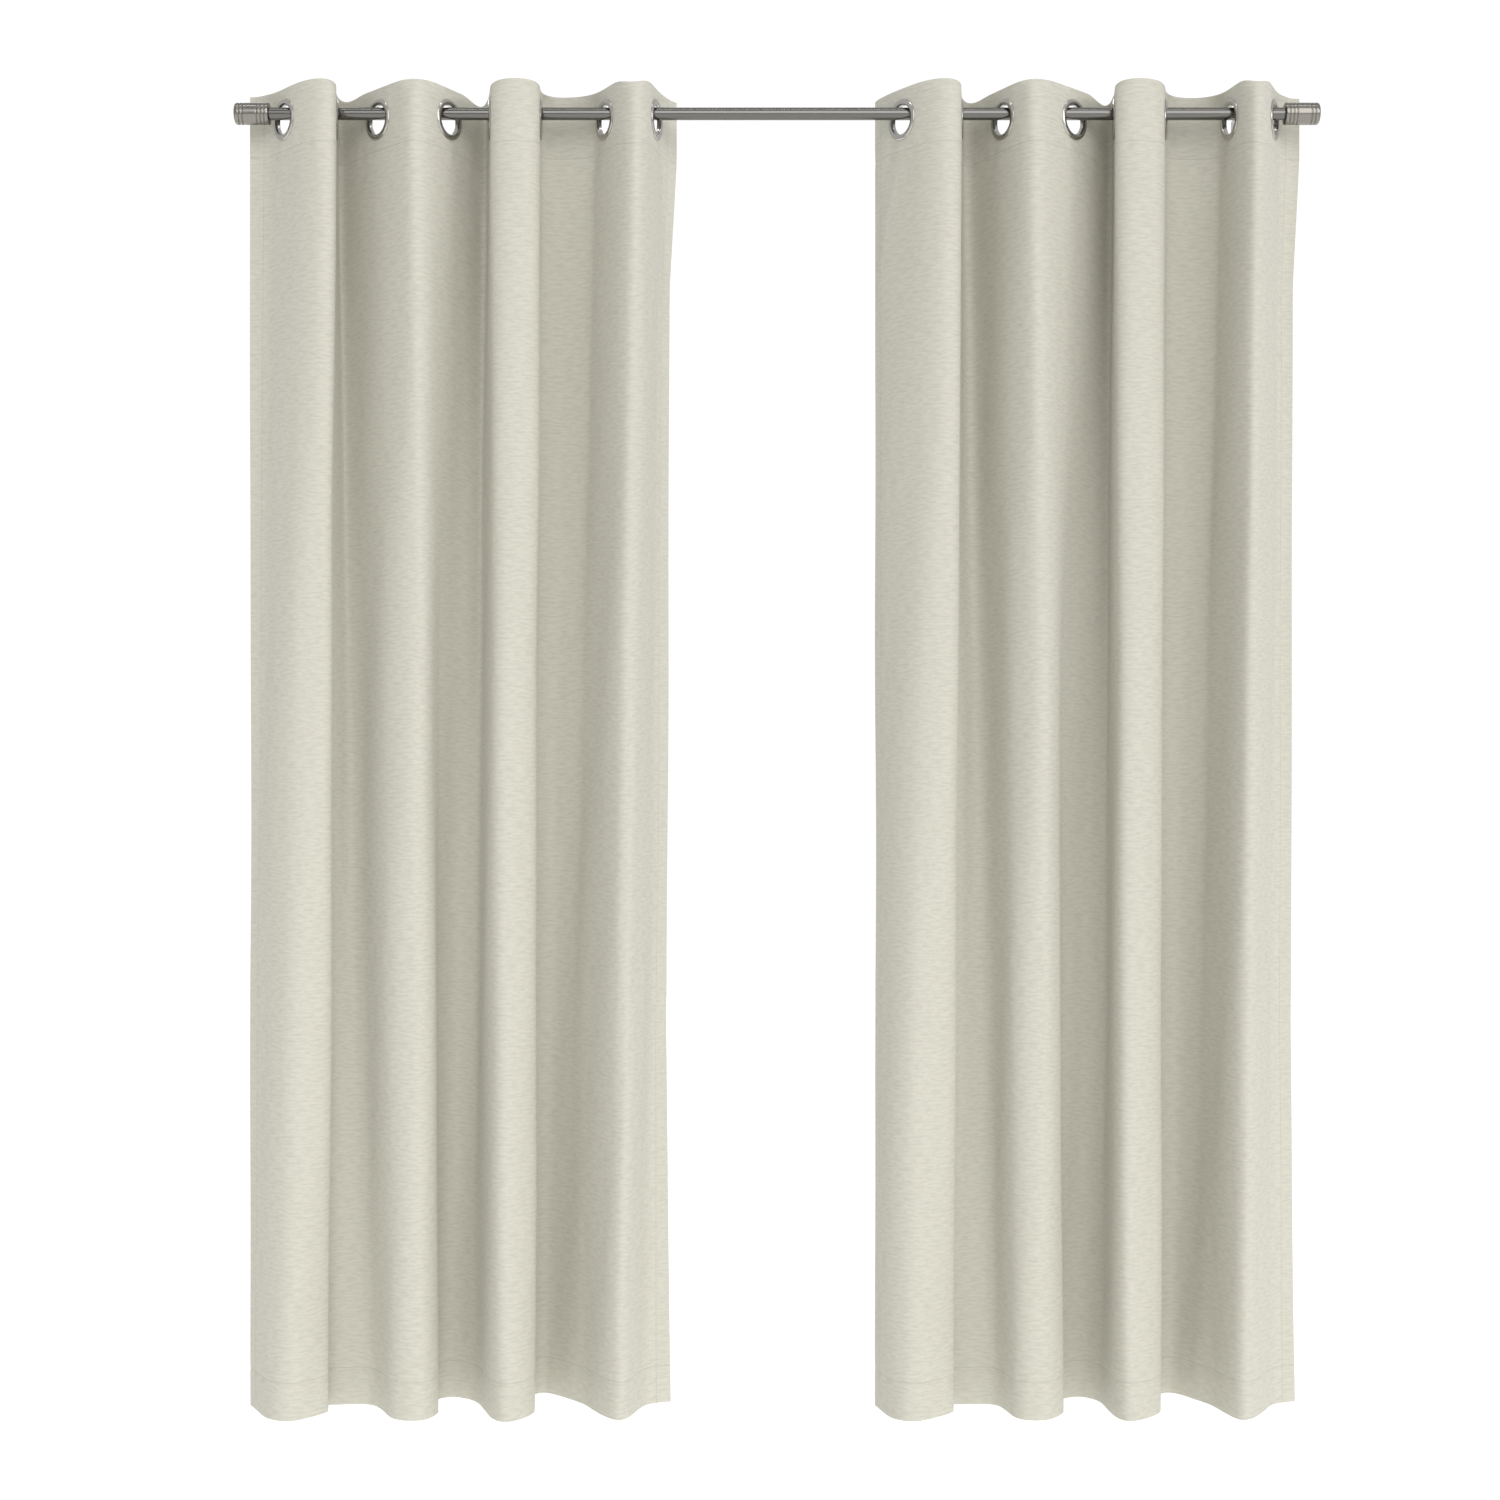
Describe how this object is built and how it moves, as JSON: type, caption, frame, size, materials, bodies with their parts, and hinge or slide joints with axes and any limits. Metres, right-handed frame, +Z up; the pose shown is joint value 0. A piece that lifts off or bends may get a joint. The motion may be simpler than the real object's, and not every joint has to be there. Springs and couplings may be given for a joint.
{
  "type": "window curtains on a rod",
  "caption": "Pair of full-length eyelet curtains in deep folds, threaded on a round metal rod with grooved cylinder finials, held off the wall by cup brackets.",
  "frame": {"origin": "middle of the left bracket plate's back face, on the wall", "axes": "+X along the rod to the right as seen from the room, +Y into the wall, +Z up"},
  "size_m": [1.7486, 0.1759, 2.134],
  "materials": {
    "curtain_cloth": "matte",
    "header_stiffener": "matte",
    "eyelet_nickel": "satin",
    "finial_nickel": "satin",
    "rod_steel": "satin",
    "bracket_steel": "satin",
    "screw_steel": "satin",
    "nylon": "matte"
  },
  "bodies": {
    "rod_and_brackets": {"rod_tube": "rod_steel", "left_finial_plug": "nylon", "left_wall_plate": "bracket_steel", "left_bracket_arm": "bracket_steel", "left_wall_screw_upper": "screw_steel", "left_wall_screw_lower": "screw_steel", "left_cloth": "curtain_cloth", "left_header_stiffener": "header_stiffener", "right_finial_plug": "nylon", "right_wall_plate": "bracket_steel", "right_bracket_arm": "bracket_steel", "right_wall_screw_upper": "screw_steel", "right_wall_screw_lower": "screw_steel", "right_cloth": "curtain_cloth", "right_header_stiffener": "header_stiffener", "left_eyelet_1_front": "eyelet_nickel", "left_eyelet_1_back": "eyelet_nickel", "right_eyelet_8_front": "eyelet_nickel", "right_eyelet_8_back": "eyelet_nickel"},
    "left_eyelet_2": {"left_eyelet_2_front": "eyelet_nickel", "left_eyelet_2_back": "eyelet_nickel"},
    "left_eyelet_3": {"left_eyelet_3_front": "eyelet_nickel", "left_eyelet_3_back": "eyelet_nickel"},
    "left_eyelet_4": {"left_eyelet_4_front": "eyelet_nickel", "left_eyelet_4_back": "eyelet_nickel"},
    "left_eyelet_5": {"left_eyelet_5_front": "eyelet_nickel", "left_eyelet_5_back": "eyelet_nickel"},
    "left_eyelet_6": {"left_eyelet_6_front": "eyelet_nickel", "left_eyelet_6_back": "eyelet_nickel"},
    "left_eyelet_7": {"left_eyelet_7_front": "eyelet_nickel", "left_eyelet_7_back": "eyelet_nickel"},
    "left_eyelet_8": {"left_eyelet_8_front": "eyelet_nickel", "left_eyelet_8_back": "eyelet_nickel"},
    "right_eyelet_7": {"right_eyelet_7_front": "eyelet_nickel", "right_eyelet_7_back": "eyelet_nickel"},
    "right_eyelet_6": {"right_eyelet_6_front": "eyelet_nickel", "right_eyelet_6_back": "eyelet_nickel"},
    "right_eyelet_5": {"right_eyelet_5_front": "eyelet_nickel", "right_eyelet_5_back": "eyelet_nickel"},
    "right_eyelet_4": {"right_eyelet_4_front": "eyelet_nickel", "right_eyelet_4_back": "eyelet_nickel"},
    "right_eyelet_3": {"right_eyelet_3_front": "eyelet_nickel", "right_eyelet_3_back": "eyelet_nickel"},
    "right_eyelet_2": {"right_eyelet_2_front": "eyelet_nickel", "right_eyelet_2_back": "eyelet_nickel"},
    "right_eyelet_1": {"right_eyelet_1_front": "eyelet_nickel", "right_eyelet_1_back": "eyelet_nickel"},
    "left_finial": {"left_finial": "finial_nickel"},
    "left_lock_screw": {"left_lock_screw": "screw_steel"},
    "right_finial": {"right_finial": "finial_nickel"},
    "right_lock_screw": {"right_lock_screw": "screw_steel"}
  },
  "joints": [
    {"name": "left_eyelet_2_slide", "type": "slide", "parent": "rod_and_brackets", "child": "left_eyelet_2", "axis": [1, 0, 0], "range_m": [-0.03126, 0.01988]},
    {"name": "left_eyelet_3_slide", "type": "slide", "parent": "rod_and_brackets", "child": "left_eyelet_3", "axis": [1, 0, 0], "range_m": [-0.04719, 0.03001]},
    {"name": "left_eyelet_4_slide", "type": "slide", "parent": "rod_and_brackets", "child": "left_eyelet_4", "axis": [1, 0, 0], "range_m": [-0.10974, 0.06978]},
    {"name": "left_eyelet_5_slide", "type": "slide", "parent": "rod_and_brackets", "child": "left_eyelet_5", "axis": [1, 0, 0], "range_m": [-0.1243, 0.07904]},
    {"name": "left_eyelet_6_slide", "type": "slide", "parent": "rod_and_brackets", "child": "left_eyelet_6", "axis": [1, 0, 0], "range_m": [-0.15262, 0.09705]},
    {"name": "left_eyelet_7_slide", "type": "slide", "parent": "rod_and_brackets", "child": "left_eyelet_7", "axis": [1, 0, 0], "range_m": [-0.20553, 0.13069]},
    {"name": "left_panel_draw", "type": "slide", "parent": "rod_and_brackets", "child": "left_eyelet_8", "axis": [1, 0, 0], "range_m": [-0.2359, 0.15], "deforming": ["left_cloth", "left_header_stiffener"]},
    {"name": "right_eyelet_7_slide", "type": "slide", "parent": "rod_and_brackets", "child": "right_eyelet_7", "axis": [-1, 0, 0], "range_m": [-0.01939, 0.01229]},
    {"name": "right_eyelet_6_slide", "type": "slide", "parent": "rod_and_brackets", "child": "right_eyelet_6", "axis": [-1, 0, 0], "range_m": [-0.07229, 0.04581]},
    {"name": "right_eyelet_5_slide", "type": "slide", "parent": "rod_and_brackets", "child": "right_eyelet_5", "axis": [-1, 0, 0], "range_m": [-0.10094, 0.06397]},
    {"name": "right_eyelet_4_slide", "type": "slide", "parent": "rod_and_brackets", "child": "right_eyelet_4", "axis": [-1, 0, 0], "range_m": [-0.11516, 0.07298]},
    {"name": "right_eyelet_3_slide", "type": "slide", "parent": "rod_and_brackets", "child": "right_eyelet_3", "axis": [-1, 0, 0], "range_m": [-0.17768, 0.1126]},
    {"name": "right_eyelet_2_slide", "type": "slide", "parent": "rod_and_brackets", "child": "right_eyelet_2", "axis": [-1, 0, 0], "range_m": [-0.19362, 0.1227]},
    {"name": "right_panel_draw", "type": "slide", "parent": "rod_and_brackets", "child": "right_eyelet_1", "axis": [-1, 0, 0], "range_m": [-0.2367, 0.15], "deforming": ["right_cloth", "right_header_stiffener"]},
    {"name": "left_finial_pull", "type": "slide", "parent": "rod_and_brackets", "child": "left_finial", "axis": [-1, 0, 0], "range_m": [0, 0.03]},
    {"name": "left_lock_turn", "type": "hinge", "parent": "rod_and_brackets", "child": "left_lock_screw", "pos_m": [0, -0.1, 0], "axis": [0, 0, 1], "continuous": true},
    {"name": "right_finial_pull", "type": "slide", "parent": "rod_and_brackets", "child": "right_finial", "axis": [1, 0, 0], "range_m": [0, 0.03]},
    {"name": "right_lock_turn", "type": "hinge", "parent": "rod_and_brackets", "child": "right_lock_screw", "pos_m": [1.53804, -0.1, 0], "axis": [0, 0, 1], "continuous": true}
  ],
  "couplings": [
    {"joint": "left_eyelet_2_slide", "follows": "left_panel_draw", "ratio": 0.13244},
    {"joint": "left_eyelet_3_slide", "follows": "left_panel_draw", "ratio": 0.2},
    {"joint": "left_eyelet_4_slide", "follows": "left_panel_draw", "ratio": 0.46513},
    {"joint": "left_eyelet_5_slide", "follows": "left_panel_draw", "ratio": 0.52685},
    {"joint": "left_eyelet_6_slide", "follows": "left_panel_draw", "ratio": 0.6469},
    {"joint": "left_eyelet_7_slide", "follows": "left_panel_draw", "ratio": 0.8712},
    {"joint": "right_eyelet_7_slide", "follows": "right_panel_draw", "ratio": 0.08184},
    {"joint": "right_eyelet_6_slide", "follows": "right_panel_draw", "ratio": 0.30533},
    {"joint": "right_eyelet_5_slide", "follows": "right_panel_draw", "ratio": 0.42639},
    {"joint": "right_eyelet_4_slide", "follows": "right_panel_draw", "ratio": 0.48644},
    {"joint": "right_eyelet_3_slide", "follows": "right_panel_draw", "ratio": 0.7506},
    {"joint": "right_eyelet_2_slide", "follows": "right_panel_draw", "ratio": 0.81792}
  ]
}
